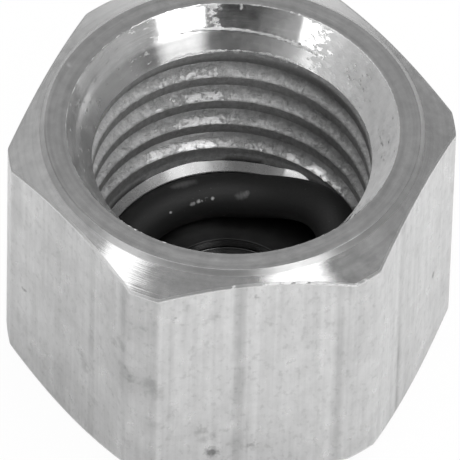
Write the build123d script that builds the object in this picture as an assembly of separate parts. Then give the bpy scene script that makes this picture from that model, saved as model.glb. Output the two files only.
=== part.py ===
from build123d import *
import math
import os

# Service port cap: a hexagon cap nut with a blind threaded bore and a rubber sealing ring.
# Millimetres. +Z points out of the mouth, and the origin is the centre of the closed end.

# Hexagon bar
across_flats = 14.2875          # 9/16 inch spanner size
cap_height = 11.11              # 7/16 inch, closed end to mouth
bar_corner_radius = 1.2         # rounded edges of the drawn bar
skimmed_diameter = 15.9         # the lathe just touches the bar's corners

# Closed end
base_face_diameter = 13.1       # flat that the cap stands on
base_chamfer_angle = 33.0       # degrees up from that flat

# Rim round the mouth
rim_face_diameter = 13.3        # flat ring at the very top
rim_bevel = 0.15                # small 45 degree edge outside the flat ring
rim_chamfer_angle = 28.8        # degrees down from the flat ring, out to the corners

# Mouth and bore, depths measured down from the rim. The thread is 7/16 inch, 20 to the inch.
mouth_diameter = 11.8
guide_cone_angle = 28.3         # degrees from the axis, from the mouth inwards
guide_cone_depth = 0.89
thread_minor_diameter = 9.92    # 25/64 inch tap drill
thread_start_depth = 1.55       # foot of the second cone, where the thread begins
bore_depth = 8.98               # rim to the flat floor

# Clearance recess for the valve stem, in the middle of the floor
recess_diameter = 5.1
recess_depth = 0.45

# Sealing ring, which passes the thread and lies on the floor, where the bore's wall draws in to it
ring_cord_diameter = 1.6
ring_entry_clearance = 0.15     # between the ring and the thread's minor diameter
ring_seat_flat = 0.05           # how far the cord is flattened where it sits on the floor
ring_side_clearance = 0.05      # between the ring and the wall, at the floor
seat_headroom = 0.08            # the wall starts to draw in this far above the ring

# Heights and radii that follow
floor_height = cap_height - bore_depth
ring_height = ring_cord_diameter - ring_seat_flat
ring_outer_radius = thread_minor_diameter / 2 - ring_entry_clearance
seat_top = floor_height + ring_height + seat_headroom
seat_foot_radius = ring_outer_radius + ring_side_clearance
guide_cone_foot_radius = mouth_diameter / 2 - guide_cone_depth * math.tan(math.radians(guide_cone_angle))
rim_bevel_radius = rim_face_diameter / 2 + rim_bevel


def rise(run, angle):
    """Height gained by a slope of this angle, in degrees, over this run."""
    return run * math.tan(math.radians(angle))


def turned(points):
    """Solid turned about Z from an outline of (radius, height) points."""
    outline = make_face(Plane.XZ * Polyline(*points, close=True))
    return revolve(outline, Axis.Z)


def hexagon_bar():
    """Length of drawn bar with rounded edges, flats facing +Y and -Y."""
    section = RegularPolygon(across_flats / 2, 6, major_radius=False)
    section = fillet(section.vertices(), bar_corner_radius)
    return extrude(section, cap_height)


def turned_outside():
    """Envelope that the lathe leaves: both end chamfers, the rim's bevel and the skimmed corners."""
    skimmed_radius = skimmed_diameter / 2
    base_radius = base_face_diameter / 2
    base_chamfer_top = rise(skimmed_radius - base_radius, base_chamfer_angle)
    rim_chamfer_top = cap_height - rim_bevel
    rim_chamfer_foot = rim_chamfer_top - rise(skimmed_radius - rim_bevel_radius, rim_chamfer_angle)
    return turned([
        (0, 0),
        (base_radius, 0),
        (skimmed_radius, base_chamfer_top),
        (skimmed_radius, rim_chamfer_foot),
        (rim_bevel_radius, rim_chamfer_top),
        (rim_face_diameter / 2, cap_height),
        (0, cap_height),
    ])


def bored_inside():
    """Everything that is drilled and bored out: recess, ring seat, threaded bore and both mouth cones."""
    recess_floor = floor_height - recess_depth
    return turned([
        (0, recess_floor),
        (recess_diameter / 2, recess_floor),
        (recess_diameter / 2, floor_height),
        (seat_foot_radius, floor_height),
        (thread_minor_diameter / 2, seat_top),
        (thread_minor_diameter / 2, cap_height - thread_start_depth),
        (guide_cone_foot_radius, cap_height - guide_cone_depth),
        (mouth_diameter / 2, cap_height),
        (0, cap_height),
    ])


def make_cap_body():
    """The hexagon bar, turned outside and bored inside."""
    return (hexagon_bar() & turned_outside()) - bored_inside()


def make_seal_ring():
    """Round rubber cord bent into a ring, with a narrow flat where it sits on the floor."""
    cord_radius = ring_cord_diameter / 2
    centre_radius = ring_outer_radius - cord_radius
    centre_height = floor_height + cord_radius - ring_seat_flat
    cord = Pos(centre_radius, centre_height) * Circle(cord_radius)
    above_floor = Pos(centre_radius, floor_height) * Rectangle(
        2 * ring_cord_diameter, 2 * ring_cord_diameter, align=(Align.CENTER, Align.MIN)
    )
    return revolve(Plane.XZ * (cord & above_floor), Axis.Z)


os.makedirs("parts", exist_ok=True)
export_step(make_cap_body(), "parts/cap_body.step")
export_step(make_seal_ring(), "parts/seal_ring.step")
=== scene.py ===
import bmesh
import bpy
import numpy as np
from mathutils import Matrix, Vector


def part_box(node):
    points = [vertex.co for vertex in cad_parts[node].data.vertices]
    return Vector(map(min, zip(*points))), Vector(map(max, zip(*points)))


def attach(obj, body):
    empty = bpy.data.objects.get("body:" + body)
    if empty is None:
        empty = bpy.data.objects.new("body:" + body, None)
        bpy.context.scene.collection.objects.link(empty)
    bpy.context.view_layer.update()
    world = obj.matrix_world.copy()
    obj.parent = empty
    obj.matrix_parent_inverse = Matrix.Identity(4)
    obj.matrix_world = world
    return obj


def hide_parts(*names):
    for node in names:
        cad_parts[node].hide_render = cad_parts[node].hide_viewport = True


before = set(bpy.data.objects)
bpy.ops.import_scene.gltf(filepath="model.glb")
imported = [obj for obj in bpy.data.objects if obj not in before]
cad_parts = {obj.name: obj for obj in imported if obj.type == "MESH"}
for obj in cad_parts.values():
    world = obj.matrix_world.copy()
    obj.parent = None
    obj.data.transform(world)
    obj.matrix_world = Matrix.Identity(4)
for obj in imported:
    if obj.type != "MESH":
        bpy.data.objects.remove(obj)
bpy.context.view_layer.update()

bl_info = {
    "name": "Service port cap",
    "version": (1, 0, 0),
    "blender": (4, 5, 0),
    "location": "View3D > Sidebar > Port Cap",
    "description": "Hexagon cap with a threaded bore and a rubber sealing ring",
    "category": "Add Mesh",
}

# Shapes are worked out in mm and put into the meshes in metres.
MM = 0.001
BODY_HIGH = np.array(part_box("cap_body")[1]) / MM
RING_LOW, RING_HIGH = (np.array(corner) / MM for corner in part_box("seal_ring"))
CAP_HEIGHT = BODY_HIGH[2]
FLOOR_HEIGHT = RING_LOW[2]

# The photo was taken a little to one side of the flat that faces -Y. Azimuths read in it turn by
# this many degrees to become azimuths about the cap's own axis.
PHOTO_TURN = -8.22

# Fineness of the grids
CAP_COLUMNS = 480
RING_COLUMNS = 240
RING_ROWS = 48
SOFT_STEPS = 3              # rows inside a softened corner's curve
SOFT_ROWS = SOFT_STEPS + 4  # all the rows that such a corner makes
WELD = 2e-7                 # metres between points that become one
SHARP_ANGLE = 24            # degrees between faces, above which their edge shades sharp

# The cap's materials, in their order on its mesh
TURNED, DRAWN, THREAD = range(3)


# Sizes and colours that a user would change

def length(name, description, millimetres):
    """A length property, shown in the scene's units and kept in metres."""
    return bpy.props.FloatProperty(
        name=name, description=description, default=millimetres * MM, min=0.0,
        precision=5, unit="LENGTH", subtype="DISTANCE",
    )


def shade(name, description, value):
    """A neutral colour property."""
    return bpy.props.FloatVectorProperty(
        name=name, description=description, default=(value, value, value), size=3,
        min=0.0, max=1.0, subtype="COLOR",
    )


class CapSizes(bpy.types.PropertyGroup):
    """Sizes of the metal cap."""
    across_flats: length("Across flats", "Spanner size of the hexagon", BODY_HIGH[1] * 2)
    skimmed: length("Across corners", "Diameter that the lathe leaves at the corners", BODY_HIGH[0] * 2)
    bar_corner: length("Bar corner", "Radius of the drawn bar's rounded edges", 1.2)
    base_face: length("Base face", "Diameter of the flat that the cap stands on", 13.1)
    rim_face: length("Rim face", "Diameter of the flat ring round the mouth", 13.3)
    rim_bevel: length("Rim bevel", "Small bevel outside the flat ring", 0.15)
    mouth: length("Mouth", "Diameter of the mouth at the rim", 11.8)
    thread_major: length("Thread, major", "Diameter of the thread's roots", 11.1125)
    thread_minor: length("Thread, minor", "Diameter of the thread's crests", 9.92)
    pitch: length("Pitch", "Distance from one turn of the thread to the next", 1.27)
    recess: length("Recess", "Diameter of the recess in the floor", 5.1)
    recess_depth: length("Recess depth", "Depth of the recess below the floor", 0.45)


class RingSizes(bpy.types.PropertyGroup):
    """Sizes of the rubber ring."""
    outside: length("Outside", "Outer diameter of the ring", RING_HIGH[0] * 2)
    cord: length("Cord", "Diameter of the ring's round section", 1.6)
    lift: length("Lift", "How far one side of the ring stands off the floor", 1.5)


class CapFinish(bpy.types.PropertyGroup):
    """Colours of the finishes and the stage."""
    metal: shade("Metal", "Colour of the bare metal", 0.72)
    rubber: shade("Rubber", "Colour of the ring", 0.03)
    floor: shade("Floor", "Colour of the floor", 0.9)


# Profiles and surfaces

def azimuths(count):
    """Azimuths from 0 to a full turn, both ends in, which lie closer at the hexagon's corners:
    angle = u - 0.55 sin(6u) / 6."""
    even = np.linspace(0.0, 2 * np.pi, count + 1)
    return even - 0.55 * np.sin(6 * even) / 6


def smooth(low, high, value):
    """0 below low, 1 above high, and 3t^2 - 2t^3 between."""
    t = np.clip((value - low) / (high - low), 0.0, 1.0)
    return t * t * (3 - 2 * t)


def hexagon_reach(azimuth, sizes):
    """Distance from the axis to the hexagon's side at each azimuth. With a the angle from the nearest
    corner, a flat is at half the flats' distance / cos(30 - a), and the rounded corner is a circle
    about a point on the corner's line: centre cos a + sqrt(corner^2 - (centre sin a)^2)."""
    half = sizes.across_flats / MM / 2
    corner = sizes.bar_corner / MM
    centre = (half - corner) / np.cos(np.radians(30))
    sixth = np.radians(60)
    angle = np.abs((azimuth + sixth / 2) % sixth - sixth / 2)
    flat = half / np.cos(np.radians(30) - angle)
    under_root = np.maximum(corner**2 - (centre * np.sin(angle)) ** 2, 0.0)
    rounded = centre * np.cos(angle) + np.sqrt(under_root)
    foot = np.arctan2(corner * 0.5, centre + corner * np.cos(np.radians(30)))
    return np.minimum(np.where(angle < foot, rounded, flat), sizes.skimmed / MM / 2)


def between(low, high, share):
    """The number that lies a share of the way from low to high."""
    return low + (high - low) * share


def plateau(value, start, full, fade, end):
    """0 outside start and end, 1 between full and fade, and smooth between them."""
    return smooth(start, full, value) * (1 - smooth(fade, end, value))


def soft_profile(corners, azimuth):
    """Rows of a profile with softened corners. corners is a list of (radius, height, softness), where
    radius and height are numbers or arrays over azimuth. Each corner C with a softness d becomes the
    curve (1-t)^2 A + 2t(1-t) C + t^2 B between points A and B at the distance d along both sides,
    with one more row past each end, which keeps the sides' shading flat. A softness of 0 leaves one
    row, and the two ends have none."""
    points = np.array([np.broadcast_arrays(radius, height, azimuth)[:2] for radius, height, _ in corners])
    softness = [d for _, _, d in corners]
    rows = [points[0]]
    for before, corner, after, d in zip(points, points[1:], points[2:], softness[1:]):
        if d == 0:
            rows.append(corner)
            continue
        back = (before - corner) / np.linalg.norm(before - corner, axis=0)
        ahead = (after - corner) / np.linalg.norm(after - corner, axis=0)
        rows.append(corner + 1.7 * d * back)
        for t in np.linspace(0.0, 1.0, SOFT_STEPS + 2):
            rows.append(corner + (1 - t) ** 2 * d * back + t**2 * d * ahead)
        rows.append(corner + 1.7 * d * ahead)
    rows.append(points[-1])
    return np.array(rows)


def ripple(value, lowest, highest, seed):
    """Smooth uneven number, mostly between -1 and 1: the sum of sin(w value + phase) over 12 whole
    numbers w from lowest to highest, which close on a full turn, over the square root of 6."""
    draw = np.random.default_rng(seed)
    total = 0.0
    for wave, phase in zip(draw.integers(lowest, highest, 12), draw.uniform(0, 2 * np.pi, 12)):
        total = total + np.sin(wave * value + phase)
    return total / np.sqrt(6)


def build_mesh(name, radius, height, azimuth, band_material, **attributes):
    """Mesh of a turned form from a grid of rows round the axis: x = radius cos(azimuth),
    y = radius sin(azimuth), z = height. Rows that meet at the seam, at the axis or at the end of the
    thread are welded. Other numbers that are given for the whole grid are kept as attributes."""
    rows, columns = radius.shape
    points = np.stack([radius * np.cos(azimuth), radius * np.sin(azimuth), height], axis=-1)
    corner = np.arange(rows * columns).reshape(rows, columns)
    quads = np.stack(
        [corner[:-1, :-1], corner[:-1, 1:], corner[1:, 1:], corner[1:, :-1]], axis=-1
    ).reshape(-1, 4)
    mesh = bpy.data.meshes.new(name)
    mesh.vertices.add(rows * columns)
    mesh.vertices.foreach_set("co", (points * MM).ravel())
    mesh.loops.add(quads.size)
    mesh.loops.foreach_set("vertex_index", quads.ravel())
    mesh.polygons.add(len(quads))
    mesh.polygons.foreach_set("loop_start", np.arange(0, quads.size, 4))
    mesh.polygons.foreach_set("material_index", np.repeat(band_material, columns - 1))
    mesh.polygons.foreach_set("use_smooth", np.ones(len(quads), bool))
    for key, values in attributes.items():
        attribute = mesh.attributes.new(key, "FLOAT", "POINT")
        attribute.data.foreach_set("value", values.ravel().astype(np.float32))
    mesh.update(calc_edges=True)
    work = bmesh.new()
    work.from_mesh(mesh)
    bmesh.ops.remove_doubles(work, verts=work.verts, dist=WELD)
    bmesh.ops.recalc_face_normals(work, faces=work.faces)
    work.to_mesh(mesh)
    work.free()
    mesh.set_sharp_from_angle(angle=np.radians(SHARP_ANGLE))
    return mesh


def add_piece(mesh, materials, node):
    """Object for a finished mesh. It rides on the part's one body and stands for its CAD node."""
    for material in materials:
        mesh.materials.append(material)
    piece = bpy.data.objects.new(mesh.name, mesh)
    bpy.context.scene.collection.objects.link(piece)
    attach(piece, "root")
    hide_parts(node)


# The cap's form in mm. Depths are measured down from the rim.

BASE_SLOPE = np.tan(np.radians(33.0))   # base chamfer, height over radius
RIM_SLOPE = np.tan(np.radians(28.8))    # rim chamfer, height over radius
GUIDE_SLOPE = np.tan(np.radians(28.3))  # first mouth cone, radius over depth
FLANK = np.tan(np.radians(30))          # the thread's flanks, depth over radius

GUIDE_DEPTH = 0.89     # foot of the first cone, on average
GUIDE_SWING = 0.28     # that foot runs deeper on one side by this much
THREAD_START = 1.55    # foot of the second cone
FIRST_GROOVE = 2.4965  # depth of a groove's middle at the back of the photo
ROOT_FLAT = 0.159      # width of the flat at the thread's root
LAND_END = 7.12        # the helical rows stop here, past the last turn
STEP_DEPTH = 7.42      # the wall steps in here to a lip just above the ring
LIP_RADIUS = 4.62      # inner radius of that lip
SEAT_GAP = 0.05        # between the ring and the undercut wall behind the lip


def photo_azimuth(azimuth):
    """Azimuth as it was read in the photo, in degrees, from the one about the cap's axis in radians."""
    return np.degrees(azimuth) - PHOTO_TURN


def band(azimuth, start, end, edge):
    """1 between two azimuths of the photo and 0 outside them, with edges this many degrees wide."""
    off = np.abs((photo_azimuth(azimuth) - (start + end) / 2 + 180) % 360 - 180)
    half = (end - start) / 2
    return 1 - smooth(half - edge / 2, half + edge / 2, off)


def groove_middle(azimuth, turn, pitch):
    """Depth of the thread groove's middle. It is right-handed, so it goes down as the azimuth falls:
    first + pitch (turn + (90 - azimuth) / 360)."""
    return FIRST_GROOVE + pitch * (turn + (90 - photo_azimuth(azimuth)) / 360)


def rounded_larger(first, second, softness):
    """The larger of two numbers, with the corner between them rounded by the softness s:
    second + h difference + s h (1 - h), where h is 0.5 + difference / 2s, held from 0 to 1."""
    share = np.clip(0.5 + (first - second) / (2 * softness), 0.0, 1.0)
    return second + (first - second) * share + softness * share * (1 - share)


def thread_radius(azimuth, depth, sizes):
    """Radius that the thread's groove reaches: flanks of 30 degrees down to a root, which lies at the
    major radius. The groove starts shallow, and fades out past its last turn."""
    pitch = sizes.pitch / MM
    major = sizes.thread_major / MM / 2
    minor = sizes.thread_minor / MM / 2
    turn = np.round((depth - groove_middle(azimuth, 0, pitch)) / pitch)
    middle = groove_middle(azimuth, turn, pitch)
    off = np.abs(depth - middle) - ROOT_FLAT / 2
    missing = 1 - smooth(1.6, 2.05, middle) * (1 - smooth(6.5, 6.85, middle))
    return np.minimum(major - off / FLANK, major) - missing * (major - minor) * 1.05


# Where the flank below a groove is worn most: first and last azimuth in the photo, the groove's
# number from the top, the offset from its middle where the wear starts, and how burnished and how
# torn it is
THREAD_WEAR = (
    (92, 128, 0, 0.15, 0.0, 0.7), (88, 126, 1, 0.15, 0.0, 0.8), (84, 122, 2, 0.1, 0.1, 0.85),
    (93, 130, 3, 0.0, 0.5, 0.8), (66, 93, 3, 0.1, 0.2, 0.6), (37, 66, 3, 0.34, 0.7, 2.0),
    (36, 67, 3, 0.1, 0.1, 0.6), (28, 46, 2, 0.1, 0.0, 0.7),
)


def thread_rows(azimuth, sizes):
    """Rows that follow the thread. Each keeps its distance from the groove's middle, and they are
    held between the thread's start and the land's end. The grid's seam closes because a full turn
    moves each row on by one pitch. The flank below a groove faces up and was torn by the tap: its
    lower part stands proud by a sum of waves, in clumps, and more in the places of THREAD_WEAR.
    Returns radius, depth, and how burnished and how torn the metal is."""
    pitch = sizes.pitch / MM
    edge = ROOT_FLAT / 2 + (sizes.thread_major - sizes.thread_minor) / MM / 2 * FLANK
    upper = [-edge - 0.03, -edge, -0.1, -0.05]
    lower = [0.05, 0.11, 0.2, 0.27, 0.33, 0.38, edge, edge + 0.03, edge + 0.1, pitch / 2]
    offsets = np.array(upper + lower)
    rise = np.array([0, 0.01, 0, 0, 0, 0, 0.01, 0.018, 0.026, 0.03, 0.026, 0.012, 0, 0])
    turns = np.arange(-2, 7)
    offset = np.tile(offsets, len(turns))[:, None]
    shift = (np.repeat(turns, len(offsets)) * pitch)[:, None]
    middle = groove_middle(azimuth, 0, pitch) + shift
    number = np.round((middle - FIRST_GROOVE) / pitch - 0.1)
    unrolled = middle / pitch * 2 * np.pi
    depth = np.clip(middle + offset, THREAD_START, LAND_END)
    minor = sizes.thread_minor / MM / 2
    radius = rounded_larger(minor, thread_radius(azimuth, depth, sizes), 0.05)
    burnish = 0.3 * (1 - smooth(2.0, 2.3, depth))
    uneven = ripple(unrolled, 8, 30, 3)
    clumps = np.full(middle.shape, 0.35)
    for start, end, groove, above, shine, tear in THREAD_WEAR:
        here = band(azimuth, start, end, 18) * (number == groove) * (offset < edge + 0.02)
        here = here * smooth(above - 0.03, above + 0.03, offset + 0.04 * uneven)
        burnish = np.maximum(burnish, here * shine)
        clumps = np.maximum(clumps, here * tear)
    clumps = clumps * (0.6 + 0.4 * smooth(-1.2, 0.6, uneven))
    waves = ripple(unrolled + offset, 40, 100, 4) + 0.3 * ripple(unrolled + 2 * offset, 90, 160, 5)
    inside = (depth > THREAD_START + 0.05) & (depth < 6.9)
    proud = np.tile(rise, len(turns))[:, None] * clumps * np.maximum(waves, 0)
    radius = radius - np.where(inside, proud, 0.0)
    torn = clumps * smooth(0.1, 0.3, offset) * (1 - smooth(0.42, 0.5, offset))
    used = (depth > THREAD_START).any(axis=1) & (depth < LAND_END).any(axis=1)
    first, last = np.flatnonzero(used)[[0, -1]]
    kept = slice(first - 1, last + 2)
    return radius[kept], depth[kept], burnish[kept], torn[kept]


def guide_foot_depth(azimuth):
    """Depth of the first cone's foot: the average plus the swing times the photo azimuth's cosine."""
    return GUIDE_DEPTH + GUIDE_SWING * np.cos(np.radians(photo_azimuth(azimuth)))


def chamfer_foot_height(azimuth, sizes):
    """Height at which the rim's chamfer meets the hexagon: below the bevel by the chamfer's slope
    times the distance from the bevel's edge out to the hexagon's side."""
    rim = sizes.rim_face / MM / 2
    bevel = sizes.rim_bevel / MM
    return CAP_HEIGHT - (bevel + (hexagon_reach(azimuth, sizes) - rim - bevel) * RIM_SLOPE)


def outer_corners(azimuth, sizes):
    """Corners of the outside: closed end, base chamfer, hexagon, rim chamfer, bevel and the flat
    ring. The front flat's top edge has a burr, a band of azimuths times a sum of waves, and the ring
    has one nick."""
    reach = hexagon_reach(azimuth, sizes)
    base = sizes.base_face / MM / 2
    rim = sizes.rim_face / MM / 2
    bevel = sizes.rim_bevel / MM
    mouth = sizes.mouth / MM / 2
    base_rise = (reach - base) * BASE_SLOPE
    foot = chamfer_foot_height(azimuth, sizes)
    burr = band(azimuth, -77, -56, 4) * (0.025 + 0.015 * ripple(azimuth, 60, 200, 10))
    nick = 0.05 * band(azimuth, 154.2, 155.8, 1.0)
    corners = [(0, 0, 0), (2, 0, 0), (5, 0, 0), (base, 0, 0.08), (reach, base_rise, 0.1)]
    for share in np.linspace(0.1, 0.9, 9):
        corners.append((reach, between(base_rise, foot, share), 0))
    corners += [
        (reach, foot - 0.06, 0),
        (reach - 0.01, foot + 0.005 + burr, 0),
        (reach - 0.07, foot + 0.07 * RIM_SLOPE, 0),
        (reach - 0.1, foot + 0.1 * RIM_SLOPE, 0),
        (rim + bevel, CAP_HEIGHT - bevel, 0.04),
        (rim, CAP_HEIGHT, 0.03),
    ]
    for share, dent in ((0.2, nick), (0.4, 0), (0.6, 0), (0.8, 0)):
        corners.append((between(rim, mouth, share), CAP_HEIGHT - dent, 0))
    return corners


def mouth_corners(azimuth, sizes):
    """Corners of the two mouth cones, from the rim down to the thread. Chips are out of the mouth's
    edge, where a sum of waves is above 0. Where the cones meet at the back of the photo, a torn lip
    stands inwards by a band of azimuths times another sum of waves."""
    mouth = sizes.mouth / MM / 2
    minor = sizes.thread_minor / MM / 2
    depth = guide_foot_depth(azimuth)
    foot = mouth - depth * GUIDE_SLOPE
    lip_width = 0.035 - 0.02 * band(azimuth, 100, 130, 8)
    lip = 0.002 + band(azimuth, 57, 118, 16) * lip_width * (1 + 0.5 * ripple(azimuth, 50, 190, 8))
    chip = 0.012 * np.maximum(ripple(azimuth, 50, 170, 9), 0)
    corners = [
        (mouth + 0.045 + chip, CAP_HEIGHT, 0),
        (mouth + 0.02 + chip, CAP_HEIGHT, 0),
        (mouth - 0.016 - 0.3 * chip, CAP_HEIGHT - 0.03, 0),
    ]
    for down in (0.06, 0.09, 0.4):
        corners.append((mouth - down * GUIDE_SLOPE, CAP_HEIGHT - down, 0))
    for up in (0.12, 0.08):
        corners.append((foot + up * GUIDE_SLOPE, CAP_HEIGHT - depth + up, 0))
    corners += [
        (foot + 0.03 * GUIDE_SLOPE - 0.7 * lip, CAP_HEIGHT - depth + 0.03, 0),
        (foot - lip, CAP_HEIGHT - depth, 0),
    ]
    for share in (0.06, 0.1, 0.15, 0.29, 0.43, 0.57, 0.71, 0.85):
        height = CAP_HEIGHT - between(depth, THREAD_START, share)
        corners.append((between(foot, minor, share), height, 0))
    corners += [
        (minor + 0.02, CAP_HEIGHT - THREAD_START + 0.03, 0),
        (minor, CAP_HEIGHT - THREAD_START, 0),
    ]
    return corners


def seat_corners(azimuth, sizes):
    """Corners below the thread: plain wall, step, lip, undercut ring seat, floor and recess. The
    step's edge is cut back unevenly, by bands of azimuths and a sum of waves, and the lip is missing
    on the photo's right."""
    minor = sizes.thread_minor / MM / 2
    seat = RING_HIGH[0] + SEAT_GAP
    recess = sizes.recess / MM / 2
    recess_floor = FLOOR_HEIGHT - sizes.recess_depth / MM
    step = CAP_HEIGHT - STEP_DEPTH
    cut = 0.3 * band(azimuth, 98, 122, 24) + 0.06 * ripple(azimuth, 5, 40, 12)
    cut = cut + 0.8 * band(azimuth, 57, 66, 10) - 0.9 * band(azimuth, 10, 50, 12)
    lip = between(LIP_RADIUS, minor, band(azimuth, -40, 48, 14))
    return [
        (minor, CAP_HEIGHT - LAND_END, 0),
        (minor, step + 0.22 * cut, 0.01),
        (minor + 0.1 * cut, step + 0.15 * cut - 0.02, 0.01),
        (lip, step - 0.2, 0.01),
        (lip, step - 0.27, 0.01),
        (seat, step - 0.36, 0.02),
        (seat, FLOOR_HEIGHT, 0.05),
        (4.0, FLOOR_HEIGHT, 0),
        (recess, FLOOR_HEIGHT, 0.04),
        (recess, recess_floor, 0.05),
        (1.2, recess_floor, 0),
        (0, recess_floor, 0),
    ]


def turned_wear(radius, height, azimuth, sizes):
    """How torn and how satin the turned metal is at each point, as the photo shows it. Torn are the
    cones' right side, the lip between them, the mouth's edge, the thread's upper edge, two scratches
    at the back and the front flat's top edge. Satin are the second cone, the bevel, the floor and the
    chamfer's outer edge, and the chamfer's left part is less so."""
    rim = sizes.rim_face / MM / 2
    bevel = sizes.rim_bevel / MM
    mouth = sizes.mouth / MM / 2
    minor = sizes.thread_minor / MM / 2
    depth = CAP_HEIGHT - height
    past_guide = depth - guide_foot_depth(azimuth)
    past_foot = height - chamfer_foot_height(azimuth, sizes)
    outer = radius > rim + bevel + 0.05
    on_cones = (radius < mouth) & (radius > minor) & (depth < THREAD_START)
    at_corner = outer & (np.abs(past_foot) < 0.05)

    right_side = band(azimuth, -38, 56, 24) * (0.93 + 0.1 * ripple(azimuth, 3, 12, 13))
    uneven = smooth(-0.5, 0.5, ripple(azimuth, 10, 60, 11))
    front_edge = np.maximum(band(azimuth, -80, -53, 6), band(azimuth, -89.3, -87.7, 0.8))
    torn = np.maximum.reduce([
        on_cones * (right_side + 0.15 * band(azimuth, 118, 215, 20)),
        on_cones * (np.abs(past_guide + 0.015) < 0.02) * band(azimuth, 58, 108, 14),
        (np.abs(depth - 0.03) < 0.002) * band(azimuth, 40, 150, 40) * uneven,
        (np.abs(depth - THREAD_START + 0.03) < 0.002) * band(azimuth, 55, 125, 30) * 0.6,
        on_cones * (depth < 0.85) * band(azimuth, 95.2, 99.6, 3.0) * 0.5,
        on_cones * (depth < 0.3) * band(azimuth, 87.6, 88.4, 0.5) * 0.8,
        at_corner * front_edge,
    ])

    on_bevel = (radius > rim) & (radius < rim + bevel + 0.02) & (depth < 0.2)
    on_floor = (radius < rim) & (np.abs(height - FLOOR_HEIGHT) < 0.2)
    on_chamfer = outer & (past_foot > 0.05)
    satin = np.maximum(0.25 * on_cones * smooth(0.0, 0.05, past_guide), 0.8 * (on_bevel | on_floor))
    satin = satin + 1.2 * at_corner * (1 - band(azimuth, -77, -56, 4))
    satin = satin - 0.4 * on_chamfer * band(azimuth, -150, -106, 10)
    return torn, satin


def cap_surface(azimuth, sizes):
    """The cap's closed outline at every azimuth, from the middle of the closed end, up the hexagon,
    over the rim, down the bore and to the middle of the recess. Returns radius, height, the material
    of each band between two rows, and the attributes: how burnished, torn and satin the metal is."""
    rim = sizes.rim_face / MM / 2
    mouth = sizes.mouth / MM / 2
    upper = soft_profile(outer_corners(azimuth, sizes) + mouth_corners(azimuth, sizes), azimuth)
    cones = upper[:, 1] > CAP_HEIGHT - THREAD_START - 1e-6
    cut = np.maximum(upper[:, 0], thread_radius(azimuth, CAP_HEIGHT - upper[:, 1], sizes))
    upper[:, 0] = np.where(cones & (upper[:, 0] < mouth - 0.2), cut, upper[:, 0])
    wall_radius, wall_depth, wall_burnish, wall_torn = thread_rows(azimuth, sizes)
    wall = np.stack([wall_radius, CAP_HEIGHT - wall_depth], axis=1)
    lower = soft_profile(seat_corners(azimuth, sizes), azimuth)
    rows = np.concatenate([upper, wall, lower])
    radius, height = rows[:, 0], rows[:, 1]

    # The step is the first three softened corners below the thread.
    threaded = slice(len(upper), len(upper) + len(wall))
    stepped = slice(threaded.stop + 2, threaded.stop + 1 + 3 * SOFT_ROWS)
    upright = np.abs(np.diff(radius[:, 0])) < 1e-6
    band_material = np.where(upright & (radius[:-1, 0] > rim), DRAWN, TURNED)
    band_material[threaded.start - 1:stepped.stop] = THREAD
    torn, satin = turned_wear(radius, height, azimuth, sizes)
    torn[threaded] = wall_torn
    burnish = np.zeros(radius.shape)
    burnish[threaded] = wall_burnish
    burnish[stepped] = 0.94
    return radius, height, band_material, {"burnish": burnish, "torn": torn, "satin": satin}


# Long marks on the drawn bar as the photo shows them, and painted shade: first and last azimuth there,
# width of their soft edges, darkness, and the depths between which they show. The last three are on the far
# side.
BAR_MARKS_AND_SHADE = (
    (-168.0, -163.5, 3.0, 0.08, 0.0, 12.0), (-148.5, -143.0, 2.0, 0.07, 0.0, 12.0),
    (-132.2, -130.0, 1.2, 0.13, 0.0, 12.0), (-119.6, -117.2, 1.0, 0.14, 0.0, 6.0),
    # Painted shade: the first entry below darkens the rounded corner between the left and front flats, for
    # its darker reflection.
    (-118.8, -107.7, 0.9, 0.12, 0.0, 12.0), (-104.9, -104.2, 0.5, 0.08, 1.5, 12.0),
    (-101.4, -100.7, 0.6, 0.06, 0.0, 12.0), (-88.3, -85.1, 0.8, 0.2, 0.0, 12.0),
    (-77.5, -70.5, 4.0, 0.04, 0.0, 6.0), (-60.0, -58.2, 0.7, 0.13, 0.0, 12.0),
    (-60.0, -58.2, 0.7, 0.16, 3.0, 7.5), (-57.5, -57.0, 0.4, 0.12, 0.0, 12.0),
    (-55.9, -48.3, 1.0, 0.08, 0.0, 12.0), (-42.5, -38.0, 1.5, -0.05, 0.0, 12.0),
    (-34.6, -32.0, 0.9, 0.12, 0.0, 12.0), (-33.8, -32.0, 0.6, 0.3, 6.5, 12.0),
    # Painted shade: the two entries below darken the whole left flat, the side that gets less light, and
    # more on its upper part and corner.
    (-172.0, -119.6, 2.0, 0.08, 0.0, 12.0), (-172.0, -107.7, 2.0, 0.06, 0.0, 6.5),
    (24.0, 27.0, 1.0, 0.15, 0.0, 12.0), (98.0, 100.5, 1.0, 0.18, 2.0, 12.0),
    (141.0, 147.0, 2.0, 0.1, 0.0, 9.0),
)


def bar_stain(height, azimuth):
    """Darkness of the bar's long marks, and painted shade on the left flat and its corner, at each point.
    Each fades in and out a little along it.
    """
    depth = CAP_HEIGHT - height
    total = np.zeros(height.shape)
    for number, (start, end, edge, darkness, top, bottom) in enumerate(BAR_MARKS_AND_SHADE):
        along = plateau(depth, top - 1, top + 0.5, bottom - 0.5, bottom + 1)
        uneven = 0.85 + 0.25 * ripple(depth / 2, 1, 8, 20 + number)
        total = total + darkness * band(azimuth, start, end, edge) * along * uneven
    return total


# Darker rings on the rim's flat: radius and width in mm, and darkness
RIM_RINGS = ((6.5, 0.07, 0.08), (6.03, 0.08, 0.12))


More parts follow.
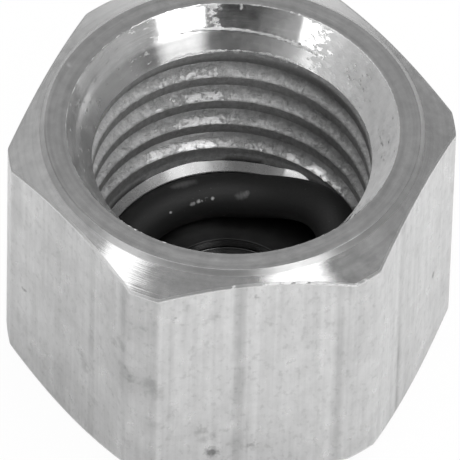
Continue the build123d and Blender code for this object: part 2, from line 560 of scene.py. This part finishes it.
def bore_stain(radius, depth, azimuth, sizes):
    """Painted shade and light inside the bore: the sum of each region's darkness times its share at the
    point. The first cone is painted lighter than elsewhere, except at the back. The second cone is
    painted darker on the left and lighter on the right; the thread's crests, roots and right side, the
    step and the recess's edge get painted shade, the step less where its highlights fall, and the floor
    is painted dark as shade of the deep bore."""
    minor = sizes.thread_minor / MM / 2
    recess = sizes.recess / MM / 2
    mouth = sizes.mouth / MM / 2
    away = 1 - band(azimuth, 60, 97, 10)
    first_cone = (radius < mouth + 0.05) * (1 - smooth(0.8, 0.95, depth)) * away
    second_cone = (radius > minor + 0.01) * plateau(depth, 0.88, 0.93, 1.5, 1.55)
    crests = (np.abs(radius - minor) < 0.05) * plateau(depth, 1.7, 2.0, 7.0, 7.1)
    roots = smooth(5.05, 5.5, radius) * smooth(1.8, 2.1, depth) * (depth < 7.1)
    right_side = smooth(4.92, 4.97, radius) * plateau(depth, 1.6, 1.9, 5.6, 5.9)
    step = plateau(depth, 7.38, 7.4, 7.7, 7.75)
    recess_edge = np.abs(radius - recess) < 0.08
    # Painted shade where the sum is above 0, painted light where it is below.
    return (
        -0.35 * first_cone
        + (0.3 * band(azimuth, 92, 130, 16) - 0.2 * band(azimuth, -20, 50, 20)) * second_cone
        + (0.3 + 0.12 * (1 - smooth(2.2, 2.6, depth))) * crests
        + (0.15 + 0.3 * band(azimuth, 20, 80, 30) + 0.12 * (1 - smooth(2.7, 3.0, depth))) * roots
        + 0.28 * band(azimuth, 2, 60, 36) * right_side
        + (0.69 + 0.1 * band(azimuth, 66, 94, 14) - 0.38 * band(azimuth, 50, 63, 8)) * step
        + 0.88 * smooth(8.4, 8.7, depth) - 0.26 * smooth(9.0, 9.1, depth)
        + (0.06 + 0.2 * (depth > 9.3)) * recess_edge
    )


def chamfer_stain(radius, depth, azimuth, sizes):
    """Painted shade on the rim's chamfer, darker in front, and on the bevel, darker on the camera's side,
    above all along its inner edge, which dims their reflections there."""
    rim = sizes.rim_face / MM / 2
    bevel = sizes.rim_bevel / MM
    edge = rim + bevel + 0.02
    on_chamfer = (radius > edge) & (depth > bevel + 0.01) & (depth < 1.4)
    on_bevel = (radius > rim - 0.05) & (radius < edge) & (depth < bevel + 0.01)
    at_inner_edge = on_bevel & (radius < rim + 0.02) & (depth < 0.03)
    near_side = band(azimuth, -178, -55, 20)
    patch = 0.07 + 0.26 * band(azimuth, -113, -48, 10) + 0.1 * band(azimuth, -78, -58, 8)
    # Painted shade that dims the chamfer's and bevel's reflections on the near side.
    return patch * on_chamfer + (0.21 + 0.11 * near_side) * on_bevel + 0.1 * near_side * at_inner_edge


def turned_stain(radius, height, azimuth, sizes):
    """Darkness of the turned surfaces: painted shade on the chamfer and bevel, painted shade and light in
    the bore, and the rim's flat, which has a level plus darkness exp(-((radius - middle) / width)^2) for
    each darker ring."""
    depth = CAP_HEIGHT - height
    flat = 0.22
    for middle, width, darkness in RIM_RINGS:
        flat = flat + darkness * np.exp(-(((radius - middle) / width) ** 2))
    inner = (radius < sizes.rim_face / MM / 2 - 0.05) & (height > 1.0)
    bore = bore_stain(radius, depth, azimuth, sizes)
    outer = chamfer_stain(radius, depth, azimuth, sizes)
    return np.select([inner & (depth < 0.02), inner], [flat, bore], outer)


# Finishes

def nodes_of(name):
    """A new material, its node tree and its shader."""
    material = bpy.data.materials.new(name)
    material.use_nodes = True
    return material, material.node_tree, material.node_tree.nodes["Principled BSDF"]


def add_node(tree, kind, inputs=(), **settings):
    """A node of a kind, with its settings and the values or links of its first inputs."""
    node = tree.nodes.new(kind)
    for key, value in settings.items():
        setattr(node, key, value)
    for socket, value in dict(inputs).items():
        if isinstance(value, bpy.types.NodeSocket):
            tree.links.new(value, node.inputs[socket])
        else:
            node.inputs[socket].default_value = value
    return node


def math_node(tree, operation, first, second):
    """The result of a sum, product or the like of two numbers or sockets."""
    return add_node(tree, "ShaderNodeMath", {0: first, 1: second}, operation=operation).outputs[0]


def noise(tree, vector, scale, detail=3.0, roughness=0.6):
    """A noise pattern on a vector, as a number round 0.5."""
    inputs = {"Vector": vector, "Scale": scale, "Detail": detail, "Roughness": roughness}
    return add_node(tree, "ShaderNodeTexNoise", inputs).outputs["Fac"]


def scaled(tree, vector, factors):
    """A vector with each part multiplied by its own factor."""
    inputs = {0: vector, 1: factors}
    return add_node(tree, "ShaderNodeVectorMath", inputs, operation="MULTIPLY").outputs[0]


def remap(tree, value, low, high, to_low, to_high):
    """A number moved from one range to another, and held there."""
    inputs = {"Value": value, "From Min": low, "From Max": high, "To Min": to_low, "To Max": to_high}
    return add_node(tree, "ShaderNodeMapRange", inputs).outputs["Result"]


def grey(tree, value):
    """A neutral colour from a number."""
    return add_node(tree, "ShaderNodeCombineColor", {0: value, 1: value, 2: value}).outputs[0]


def in_mm(tree, factors=(1, 1, 1)):
    """Place on the cap in mm, with each part multiplied by its own factor."""
    place = add_node(tree, "ShaderNodeTexCoord").outputs["Object"]
    return scaled(tree, place, tuple(factor / MM for factor in factors))


def attribute(tree, name):
    """A number that the mesh keeps for each of its points."""
    return add_node(tree, "ShaderNodeAttribute", attribute_name=name).outputs["Fac"]


def product(tree, *numbers):
    """All the numbers multiplied."""
    total = numbers[0]
    for number in numbers[1:]:
        total = math_node(tree, "MULTIPLY", total, number)
    return total


def inverse(tree, number):
    """1 less a number."""
    return math_node(tree, "SUBTRACT", 1.0, number)


def mixed(tree, share, first, second):
    """The first number where the share is 0, the second where it is 1."""
    return add_node(tree, "ShaderNodeMix", {0: share, 2: first, 3: second}).outputs[0]


def dress(tree, shader, tone, roughness, relief, strength, depth, metallic=1.0):
    """Gives a shader its grey tone, its roughness, and a relief whose depth is in mm."""
    inputs = {"Height": relief, "Strength": strength, "Distance": depth * MM}
    bump = add_node(tree, "ShaderNodeBump", inputs)
    tree.links.new(grey(tree, tone), shader.inputs["Base Color"])
    tree.links.new(roughness, shader.inputs["Roughness"])
    tree.links.new(bump.outputs[0], shader.inputs["Normal"])
    shader.inputs["Metallic"].default_value = metallic


def turning_vector(tree, across, around):
    """Coordinates whose pattern runs in rings: (radius - 1.5 height) times across, which changes
    along every turned face, and the unit vector out from the axis times around."""
    level = in_mm(tree, (1, 1, 0))
    radius = add_node(tree, "ShaderNodeVectorMath", {0: level}, operation="LENGTH").outputs["Value"]
    height = add_node(tree, "ShaderNodeSeparateXYZ", {0: in_mm(tree)}).outputs[2]
    ring = math_node(tree, "SUBTRACT", radius, product(tree, height, 1.5))
    outwards = add_node(tree, "ShaderNodeVectorMath", {0: level}, operation="NORMALIZE").outputs[0]
    parts = add_node(tree, "ShaderNodeSeparateXYZ", {0: outwards})
    return add_node(tree, "ShaderNodeCombineXYZ", {
        0: product(tree, ring, across),
        1: product(tree, parts.outputs[0], around),
        2: product(tree, parts.outputs[1], around),
    }).outputs[0]


def brush(tree, shader, strength, turn):
    """Spreads the shine across fine grooves. A turn of 0.25 is for grooves that run round the axis,
    and 0 for grooves along it."""
    tangent = add_node(tree, "ShaderNodeTangent", direction_type="RADIAL", axis="Z")
    tree.links.new(tangent.outputs[0], shader.inputs["Tangent"])
    shader.inputs["Anisotropic"].default_value = strength
    shader.inputs["Anisotropic Rotation"].default_value = turn


def patches(tree, amount, pattern, softness):
    """Share of a worn finish. It is 0 where amount + 2.5 (pattern - 0.5) is below 0.4 and 1 from the
    softness above that on, so the pattern gives the patches ragged edges."""
    total = math_node(tree, "ADD", amount, product(tree, math_node(tree, "SUBTRACT", pattern, 0.5), 2.5))
    return remap(tree, total, 0.4, 0.4 + softness, 0.0, 1.0)


def turned_metal(finish):
    """Bright metal with the fine rings that a lathe tool leaves. Where it is torn, it is matt, in patches,
    and its colour is raised above the metal's own: painted light that makes the torn edges and patches
    show bright. Where it is satin, its shine is softer."""
    material, tree, shader = nodes_of("turned_metal")
    rings = noise(tree, turning_vector(tree, 4.0, 0.5), 3.0, 2.0)
    broad = noise(tree, turning_vector(tree, 1.6, 1.2), 1.5, 3.0)
    cloud = noise(tree, in_mm(tree), 2.2, 4.0)
    fleck = noise(tree, in_mm(tree, (1, 1, 2)), 3.5, 6.0, 0.65)
    wear = attribute(tree, "torn")
    torn = product(tree, patches(tree, wear, fleck, 0.45), remap(tree, wear, 0.0, 0.1, 0.0, 1.0))
    satin = product(tree, attribute(tree, "satin"), 0.2)
    level = finish.metal[0]
    tone = product(
        tree,
        remap(tree, rings, 0.3, 0.7, level * 0.95, level * 1.04),
        remap(tree, broad, 0.3, 0.7, 0.94, 1.04),
        remap(tree, cloud, 0.3, 0.7, 0.87, 1.05),
        # The stain attribute holds painted shade and light in the bore and on the chamfer, besides the
        # rim's rings.
        inverse(tree, attribute(tree, "stain")),
    )
    # Painted light: the torn patches' colour is set above the metal's level so that they show bright.
    pale = remap(tree, cloud, 0.35, 0.65, 0.88, 1.0)
    rough = math_node(tree, "ADD", remap(tree, cloud, 0.3, 0.7, 0.14, 0.19), satin)
    relief = math_node(tree, "ADD", rings, product(tree, torn, fleck, 6.0))
    brush(tree, shader, 0.9, 0.25)
    dress(tree, shader, mixed(tree, torn, tone, pale), mixed(tree, torn, rough, 0.6), relief, 0.5, 0.004)
    return material


# Single dark marks on the flats: azimuth in the photo in degrees, depth and radius in mm, darkness
SPOTS = (
    (-162.2, 6.4, 0.09, 0.45), (-164.0, 8.3, 0.3, 0.12), (-161.9, 8.5, 0.25, 0.12), (-159.3, 9.4, 0.2, 0.1),
    (-135.7, 6.7, 0.25, 0.18), (-134.5, 6.95, 0.25, 0.2), (-133.8, 7.3, 0.2, 0.15),
    (-116.7, 5.05, 0.25, 0.2), (-115.4, 5.35, 0.25, 0.25), (-118.4, 3.95, 0.25, 0.2),
    (-121.2, 4.2, 0.2, 0.18), (-109.5, 5.3, 0.3, 0.2), (-108.4, 5.65, 0.3, 0.2),
    (-107.6, 5.9, 0.25, 0.15), (-107.7, 7.5, 0.25, 0.13), (-103.8, 1.7, 0.06, 0.35),
    (-93.3, 9.2, 0.26, 0.6), (-96.6, 8.0, 0.22, 0.2), (-96.0, 8.45, 0.2, 0.2), (-93.3, 8.3, 0.15, 0.2),
    (-92.8, 1.8, 0.16, 0.15), (-94.1, 1.9, 0.18, 0.15), (-95.5, 1.98, 0.15, 0.12),
    (-115.9, 8.96, 0.2, 0.15), (-130.6, 6.8, 0.15, 0.12), (-129.9, 8.5, 0.2, 0.15),
    (-82.2, 0.96, 0.1, 0.3), (-82.0, 9.0, 0.15, 0.3), (-8.0, 6.5, 0.08, 0.5),
)


def polar(photo_az, radius):
    """x and y of a place, from its azimuth in the photo in degrees and its radius."""
    azimuth = np.radians(photo_az + PHOTO_TURN)
    return radius * np.cos(azimuth), radius * np.sin(azimuth)


def marks(tree, places, raggedness):
    """Strength of single round marks, each given by x, y, z, size and strength. It falls off with the
    distance from the mark's middle, which a noise makes uneven."""
    place = in_mm(tree)
    uneven = remap(tree, noise(tree, place, 6.0, 3.0), 0.3, 0.7, -raggedness, raggedness)
    total = 0.0
    for x, y, z, size, strength in places:
        away = add_node(tree, "ShaderNodeVectorMath", {0: place, 1: (x, y, z)}, operation="DISTANCE")
        away = math_node(tree, "ADD", away.outputs["Value"], uneven)
        total = math_node(tree, "MAXIMUM", total, remap(tree, away, size * 0.3, size * 1.3, strength, 0.0))
    return total


def spots(tree, sizes):
    """Darkness of the single marks on the flats."""
    places = []
    for photo_az, depth, size, darkness in SPOTS:
        reach = hexagon_reach(np.radians(photo_az + PHOTO_TURN), sizes)
        places.append((*polar(photo_az, reach), CAP_HEIGHT - depth, size, darkness))
    return marks(tree, places, 0.12)


def drawn_metal(finish, sizes):
    """Metal of the bar's flats, with the long streaks that drawing leaves, soft clouds and marks."""
    material, tree, shader = nodes_of("drawn_metal")
    streak = noise(tree, in_mm(tree, (1, 1, 0.012)), 1.3, 3.0, 0.6)
    line = noise(tree, in_mm(tree, (1, 1, 0.03)), 4.5, 3.0, 0.6)
    cloud = noise(tree, in_mm(tree, (1, 1, 0.8)), 1.4, 5.0, 0.65)
    mottle = noise(tree, in_mm(tree, (1, 1, 0.7)), 5.0, 4.0, 0.6)
    level = finish.metal[0]
    tone = product(
        tree,
        remap(tree, streak, 0.3, 0.7, level * 0.775, level * 0.885),
        remap(tree, line, 0.3, 0.7, 0.92, 1.05),
        remap(tree, cloud, 0.3, 0.7, 0.9, 1.07),
        remap(tree, mottle, 0.54, 0.7, 1.0, 0.84),
        # The stain attribute holds the bar's marks and painted shade on the left flat and its corner.
        inverse(tree, attribute(tree, "stain")),
        inverse(tree, spots(tree, sizes)),
    )
    rough = remap(tree, cloud, 0.3, 0.7, 0.34, 0.26)
    ridges = math_node(tree, "ADD", product(tree, streak, 2.0), line)
    brush(tree, shader, 0.6, 0.0)
    dress(tree, shader, tone, rough, ridges, 0.3, 0.01)
    return material


def cut_thread():
    """Metal of the thread and the step. It is matt, and its colour, paler than the metal elsewhere, is
    painted light that brightens the deep thread. It is paler still in flecks where the tap tore it,
    which also stand in for their glints, and it shines where it is burnished."""
    material, tree, shader = nodes_of("cut_thread")
    grain = noise(tree, in_mm(tree), 5.0, 5.0, 0.7)
    fleck = noise(tree, in_mm(tree), 6.0, 5.0, 0.65)
    burnish = attribute(tree, "burnish")
    bright = patches(tree, attribute(tree, "torn"), fleck, 0.3)
    # Painted light: the thread's colour is set paler than the metal's level, and the torn flecks are white.
    dull = remap(tree, grain, 0.35, 0.65, 0.7, 0.96)
    tone = mixed(tree, burnish, mixed(tree, bright, dull, 1.0), 0.95)
    # The stain attribute holds painted shade on the crests, roots and step.
    tone = product(tree, tone, inverse(tree, attribute(tree, "stain")))
    rough = mixed(tree, bright, remap(tree, grain, 0.3, 0.7, 0.72, 0.6), 0.5)
    rough = mixed(tree, burnish, rough, 0.25)
    relief = math_node(tree, "ADD", grain, product(tree, bright, 0.4))
    relief = product(tree, relief, inverse(tree, product(tree, burnish, 1.05)))
    dress(tree, shader, tone, rough, relief, 0.8, 0.07)
    return material


# Bright marks on the ring, partly dust specks and partly painted highlights and reflections along its top
# and inner edge: azimuth in the photo, radius, height, size in mm and strength
RING_HIGHLIGHTS_AND_SPECKS = (
    (119.0, 4.2, 3.66, 0.15, 0.14), (117.0, 4.19, 3.66, 0.17, 0.17), (115.0, 4.17, 3.66, 0.18, 0.18),
    (113.0, 4.16, 3.66, 0.18, 0.18), (111.0, 4.15, 3.66, 0.16, 0.15), (109.0, 4.14, 3.66, 0.14, 0.12),
    (114.5, 3.38, 3.37, 0.06, 0.6), (113.0, 3.39, 3.38, 0.05, 0.5),
    (109.8, 3.4, 3.4, 0.06, 0.9), (107.5, 3.4, 3.4, 0.04, 0.5), (101.0, 3.42, 3.41, 0.06, 1.0),
    (129.0, 3.4, 3.4, 0.05, 0.9), (85.4, 3.46, 3.46, 0.12, 0.14), (83.6, 3.48, 3.48, 0.13, 0.16),
    (81.8, 3.52, 3.5, 0.12, 0.2), (80.3, 3.57, 3.55, 0.1, 0.25),
)


def black_rubber(finish):
    """Matt black rubber with a fine moulded grain, a few specks, and bright marks that are partly dust
    specks and partly painted highlights and reflections along its top and inner edge.
    """
    material, tree, shader = nodes_of("seal_rubber")
    grain = noise(tree, in_mm(tree), 12.0, 4.0)
    speck = noise(tree, in_mm(tree), 6.0, 2.0)
    level = finish.rubber[0]
    tone = remap(tree, speck, 0.7, 0.76, level * 0.5, level * 3)
    highlights_and_specks = [(*polar(photo_az, radius), height, size, strength)
              for photo_az, radius, height, size, strength in RING_HIGHLIGHTS_AND_SPECKS]
    # Painted highlights and reflections: the marks raise the rubber's colour far above its own level.
    tone = math_node(tree, "ADD", tone, product(tree, marks(tree, highlights_and_specks, 0.03), level * 18))
    dress(tree, shader, tone, remap(tree, grain, 0.3, 0.7, 0.5, 0.62), grain, 0.3, 0.03, metallic=0.0)
    return material


# Operators

class CAP_OT_body(bpy.types.Operator):
    """Make the metal cap: hexagon, chamfers, rim, cones, thread, ring seat and floor"""
    bl_idname = "port_cap.body"
    bl_label = "Metal cap"

    def execute(self, context):
        sizes = context.scene.cap_sizes
        finish = context.scene.cap_finish
        azimuth = azimuths(CAP_COLUMNS)
        radius, height, band_material, attributes = cap_surface(azimuth, sizes)
        on_bar = np.zeros(len(radius), bool)
        on_bar[1:][band_material == DRAWN] = True
        turned = turned_stain(radius, height, azimuth, sizes)
        # Real marks on the bar, and painted shade and light on the turned surfaces and on the left flat.
        stain = np.where(on_bar[:, None], bar_stain(height, azimuth), turned)
        mesh = build_mesh("port_cap", radius, height, azimuth, band_material, stain=stain, **attributes)
        materials = [turned_metal(finish), drawn_metal(finish, sizes), cut_thread()]
        add_piece(mesh, materials, "cap_body")
        return {"FINISHED"}


class CAP_OT_ring(bpy.types.Operator):
    """Make the rubber sealing ring on the floor of the bore"""
    bl_idname = "port_cap.ring"
    bl_label = "Sealing ring"

    def execute(self, context):
        """A circle of cord carried round the axis: radius = centre + cord cos v,
        height = middle + cord sin v, held at the floor, plus the lift times a soft step on each side
        of the azimuth where the ring stands highest."""
        sizes = context.scene.ring_sizes
        azimuth = np.linspace(0.0, 2 * np.pi, RING_COLUMNS + 1)
        around = np.linspace(0.0, 2 * np.pi, RING_ROWS + 1)[:, None]
        cord = sizes.cord / MM / 2
        centre = sizes.outside / MM / 2 - cord
        middle = RING_HIGH[2] - cord
        off = (photo_azimuth(azimuth) - 12 + 180) % 360 - 180
        lift = sizes.lift / MM * (1 - smooth(8, 75, off)) * (1 - smooth(20, 100, -off))
        height = np.maximum(middle + cord * np.sin(around), FLOOR_HEIGHT) + lift
        radius = np.broadcast_to(centre + cord * np.cos(around), height.shape)
        mesh = build_mesh("rubber_ring", radius, height, azimuth, np.zeros(RING_ROWS, int))
        add_piece(mesh, [black_rubber(context.scene.cap_finish)], "seal_ring")
        return {"FINISHED"}


CAMERA_TARGET = (-0.681, -4.758, 11.11)  # mm
CAMERA_DISTANCE = 461.6   # mm
CAMERA_ELEVATION = 49.03  # degrees
CAMERA_ROLL = 1.53        # degrees
PHOTO_SCALE = 28.498      # pixels for a millimetre at the target
PHOTO_WIDTH = 460         # pixels
SENSOR = 36.0             # mm

LAMP_DISTANCE = 0.35      # metres from the cap
FLOOR_HALF = 1.5          # metres from the cap to the floor's edges
FLOOR_LEVEL = -0.01 * MM  # just under the cap's flat base
FLOOR_WHITE = 0.95        # the rest of what the camera sees is the lit floor

# Softboxes: name, azimuth in the photo, width, lowest and highest elevation in degrees, radiance.
# The last one is a grey card.
SOFTBOXES = (
    ("left_low", -142, 22, 1, 12, 2.8),
    ("left_middle", -148, 22, 12, 50, 0.5),
    ("left_high", -166, 9.5, 50, 76, 1.3),
    ("right_low", -57, 29, 1, 12, 2.8),
    ("right_middle", -52, 30, 12, 56, 1.5),
    ("right_high", -35, 13, 56, 76, 4.2),
    ("overhead", 90, 60, 70, 90, 1.0),
    ("front_grey", -118.5, 25, 0, 14, 0.07),
)

# Lamps that only light what is matt, in the same form
FILLS = (
    ("fill_back", 46, 50, 30, 65, 2.2),
    ("fill_front", -112, 60, 30, 65, 1.1),
)


def direction(photo_az, elevation):
    """Unit vector towards an azimuth read in the photo and an elevation, in degrees."""
    az = np.radians(photo_az + PHOTO_TURN)
    el = np.radians(elevation)
    return Vector((np.cos(el) * np.cos(az), np.cos(el) * np.sin(az), np.sin(el)))


def softbox(name, photo_az, width, low, high, radiance):
    """A tall softbox that faces the cap, from elevation low to high. All angles are in degrees."""
    middle = direction(photo_az, (low + high) / 2)
    lamp = bpy.data.lights.new(name, "AREA")
    lamp.shape = "RECTANGLE"
    lamp.size = 2 * LAMP_DISTANCE * np.tan(np.radians(width / 2))
    lamp.size_y = 2 * LAMP_DISTANCE * np.tan(np.radians((high - low) / 2))
    lamp.energy = radiance * np.pi * lamp.size * lamp.size_y
    box = bpy.data.objects.new(name, lamp)
    box.location = middle * LAMP_DISTANCE + Vector((0, 0, CAP_HEIGHT * MM))
    box.rotation_euler = middle.to_track_quat("Z", "Y").to_euler()
    bpy.context.scene.collection.objects.link(box)
    return box


class CAP_OT_stage(bpy.types.Operator):
    """Make the floor, the soft light, the white background and the camera at the photo's angle"""
    bl_idname = "port_cap.stage"
    bl_label = "Stage"

    def execute(self, context):
        scene = context.scene
        self.add_floor(scene.cap_finish)
        for settings in SOFTBOXES:
            softbox(*settings)
        for settings in FILLS:
            softbox(*settings).visible_glossy = False
        self.add_world(scene)
        self.add_camera(scene)
        scene.view_settings.view_transform = "Standard"
        return {"FINISHED"}

    def add_floor(self, finish):
        """A plain pale floor that the camera sees as near white, with the cap's shadow kept."""
        mesh = bpy.data.meshes.new("floor")
        signs = ((-1, -1), (1, -1), (1, 1), (-1, 1))
        corners = [(x * FLOOR_HALF, y * FLOOR_HALF, FLOOR_LEVEL) for x, y in signs]
        mesh.from_pydata(corners, [], [(0, 1, 2, 3)])
        material, tree, shader = nodes_of("pale_floor")
        shader.inputs["Base Color"].default_value = (*finish.floor, 1)
        shader.inputs["Roughness"].default_value = 0.9
        glow = add_node(tree, "ShaderNodeEmission", {"Color": (1, 1, 1, 1), "Strength": 1.0})
        path = add_node(tree, "ShaderNodeLightPath")
        share = math_node(tree, "MULTIPLY", path.outputs["Is Camera Ray"], FLOOR_WHITE)
        mix = add_node(tree, "ShaderNodeMixShader", {0: share, 1: shader.outputs[0], 2: glow.outputs[0]})
        tree.links.new(mix.outputs[0], tree.nodes["Material Output"].inputs["Surface"])
        mesh.materials.append(material)
        floor = bpy.data.objects.new("floor", mesh)
        bpy.context.scene.collection.objects.link(floor)

    def add_world(self, scene):
        """Grey studio walls, lighter on the left and dark on the camera's side, which the metal
        reflects. Where the camera sees them, they are white."""
        world = bpy.data.worlds.new("studio")
        world.use_nodes = True
        tree = world.node_tree
        place = add_node(tree, "ShaderNodeTexCoord").outputs["Generated"]

        def facing(way):
            dot = add_node(tree, "ShaderNodeVectorMath", {0: place, 1: way}, operation="DOT_PRODUCT")
            return dot.outputs["Value"]

        sides = remap(tree, facing(direction(180, 20)), -0.7, 0.8, 0.33, 0.56)
        front = remap(tree, facing(direction(-93, 3)), 0.78, 0.985, 1.0, 0.07)
        path = add_node(tree, "ShaderNodeLightPath")
        wall = product(tree, sides, front)
        level = math_node(tree, "MAXIMUM", wall, path.outputs["Is Camera Ray"])
        tree.links.new(grey(tree, level), tree.nodes["Background"].inputs["Color"])
        scene.world = world

    def add_camera(self, scene):
        """The photo's camera: its elevation, distance, small roll and scale."""
        out = direction(-90, CAMERA_ELEVATION)
        right = Vector((0, 0, 1)).cross(out).normalized()
        up = out.cross(right)
        turn = Matrix(((right.x, up.x, out.x), (right.y, up.y, out.y), (right.z, up.z, out.z)))
        roll = Matrix.Rotation(np.radians(CAMERA_ROLL), 3, "Z")
        lens = bpy.data.cameras.new("photo_camera")
        lens.sensor_width = SENSOR
        lens.lens = PHOTO_SCALE * CAMERA_DISTANCE * SENSOR / PHOTO_WIDTH
        camera = bpy.data.objects.new("photo_camera", lens)
        place = (Vector(CAMERA_TARGET) + out * CAMERA_DISTANCE) * MM
        camera.matrix_world = Matrix.Translation(place) @ (turn @ roll).to_4x4()
        scene.collection.objects.link(camera)
        scene.camera = camera


class CAP_PT_panel(bpy.types.Panel):
    """Lists the cap's sizes, finishes and pieces"""
    bl_idname = "CAP_PT_panel"
    bl_label = "Service port cap"
    bl_space_type = "VIEW_3D"
    bl_region_type = "UI"
    bl_category = "Port Cap"

    def draw(self, context):
        for group in GROUPS:
            box = self.layout.box()
            settings = getattr(context.scene, group)
            for key in settings.bl_rna.properties.keys():
                if key not in ("name", "rna_type"):
                    box.prop(settings, key)
        for operator in OPERATORS:
            self.layout.operator(operator.bl_idname)


GROUPS = {"cap_sizes": CapSizes, "ring_sizes": RingSizes, "cap_finish": CapFinish}
OPERATORS = (CAP_OT_body, CAP_OT_ring, CAP_OT_stage)


def register():
    """Add the classes, and the sizes and finishes of the scene."""
    for group in GROUPS.values():
        bpy.utils.register_class(group)
    for name, group in GROUPS.items():
        setattr(bpy.types.Scene, name, bpy.props.PointerProperty(type=group))
    for cls in (*OPERATORS, CAP_PT_panel):
        bpy.utils.register_class(cls)


def unregister():
    """Take them out again, in the opposite order."""
    for cls in (CAP_PT_panel, *reversed(OPERATORS)):
        bpy.utils.unregister_class(cls)
    for name, group in reversed(GROUPS.items()):
        delattr(bpy.types.Scene, name)
        bpy.utils.unregister_class(group)


def main():
    """Make the cap, its ring and the stage."""
    register()
    bpy.ops.port_cap.body()
    bpy.ops.port_cap.ring()
    bpy.ops.port_cap.stage()


if __name__ == "__main__":
    main()
